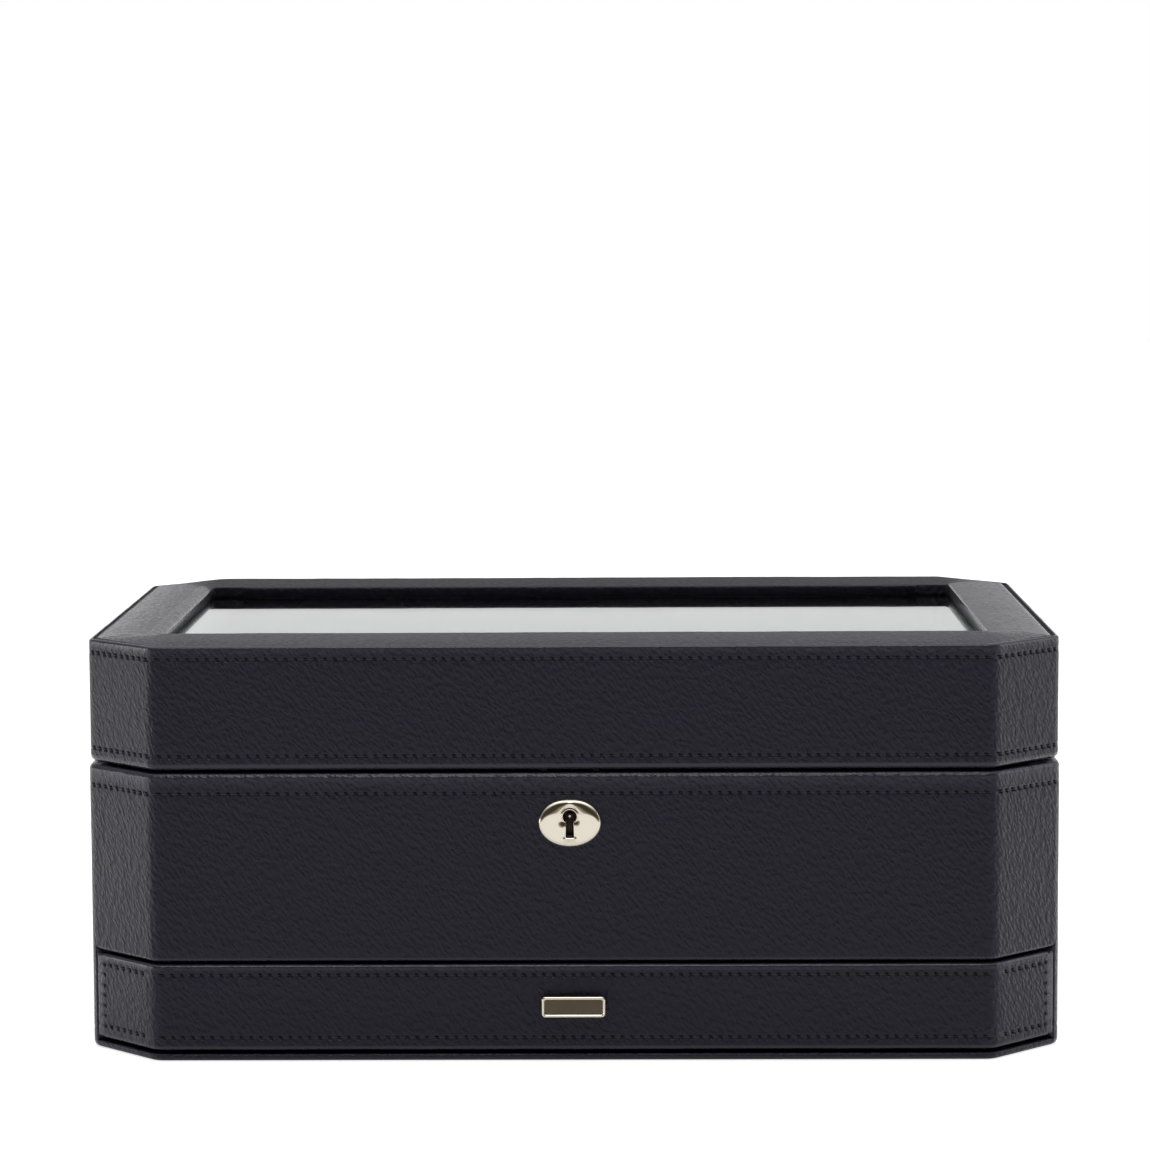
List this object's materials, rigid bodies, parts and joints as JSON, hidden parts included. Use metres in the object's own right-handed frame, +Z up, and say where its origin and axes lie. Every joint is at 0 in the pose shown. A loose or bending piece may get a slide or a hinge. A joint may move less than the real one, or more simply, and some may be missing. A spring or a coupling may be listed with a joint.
{
  "type": "watch box",
  "caption": "Leather covered watch box with cut corners, a hinged window lid over cushioned places, a box lock and a shallow drawer.",
  "frame": {"origin": "middle of the underside, where the felt rests on the table", "axes": "+Z up, +X to the right seen from the front, -Y towards the front with the lock"},
  "size_m": [0.34, 0.2383, 0.145],
  "materials": {
    "leather": "pebble grain, satin, edges folded and stitched",
    "board": "raw fibreboard",
    "plywood": "sanded plywood",
    "suede": "suede cloth, short nap",
    "cushion_suede": "suede cloth over foam",
    "felt": "needled felt",
    "glass": "clear, polished",
    "nickel": "polished nickel plate",
    "brass": "satin brass"
  },
  "bodies": {
    "case": {"base_felt": "felt", "base_board": "plywood", "case_side_left": "board", "case_side_right": "board", "case_back": "board", "case_front": "board", "case_corner_boards": "board", "case_leather": "leather", "deck_board": "suede", "tray_liner": "suede", "long_divider": "suede", "cross_divider_1": "suede", "cross_divider_2": "suede", "cross_divider_3": "suede", "cross_divider_4": "suede", "watch_cushion_1": "cushion_suede", "watch_cushion_2": "cushion_suede", "watch_cushion_3": "cushion_suede", "watch_cushion_4": "cushion_suede", "watch_cushion_5": "cushion_suede", "watch_cushion_6": "cushion_suede", "watch_cushion_7": "cushion_suede", "watch_cushion_8": "cushion_suede", "watch_cushion_9": "cushion_suede", "watch_cushion_10": "cushion_suede", "drawer_runners": "plywood", "lock_body": "brass", "lock_plate": "nickel", "lock_screws": "brass", "hinge_left_case_leaf": "brass", "hinge_right_case_leaf": "brass", "hinge_pins": "brass", "hinge_case_screws": "brass"},
    "lid": {"lid_front": "board", "lid_back": "board", "lid_side_left": "board", "lid_side_right": "board", "lid_corner_boards": "board", "lid_top_board": "board", "lid_side_leather": "leather", "lid_top_leather": "leather", "lid_glass": "glass", "glass_retainer": "suede", "lid_lining": "suede", "hinge_left_lid_leaf": "brass", "hinge_right_lid_leaf": "brass", "hinge_lid_screws": "brass", "lock_staples": "brass", "staple_screws": "brass"},
    "drawer": {"drawer_front": "board", "drawer_leather": "leather", "drawer_side_left": "plywood", "drawer_side_right": "plywood", "drawer_back": "plywood", "drawer_base": "plywood", "drawer_pad": "suede", "drawer_dividers": "suede", "drawer_pull": "nickel", "pull_screws": "nickel"},
    "bolt": {"lock_bolt": "brass"}
  },
  "joints": [
    {"name": "lid_hinge", "type": "hinge", "parent": "case", "child": "lid", "pos_m": [0, 0.1168, 0.1015], "axis": [-1, 0, 0], "range_deg": [0, 95]},
    {"name": "drawer_slide", "type": "slide", "parent": "case", "child": "drawer", "axis": [0, -1, 0], "range_m": [0, 0.15]},
    {"name": "bolt_slide", "type": "slide", "parent": "case", "child": "bolt", "axis": [1, 0, 0], "range_m": [0, 0.004]}
  ]
}
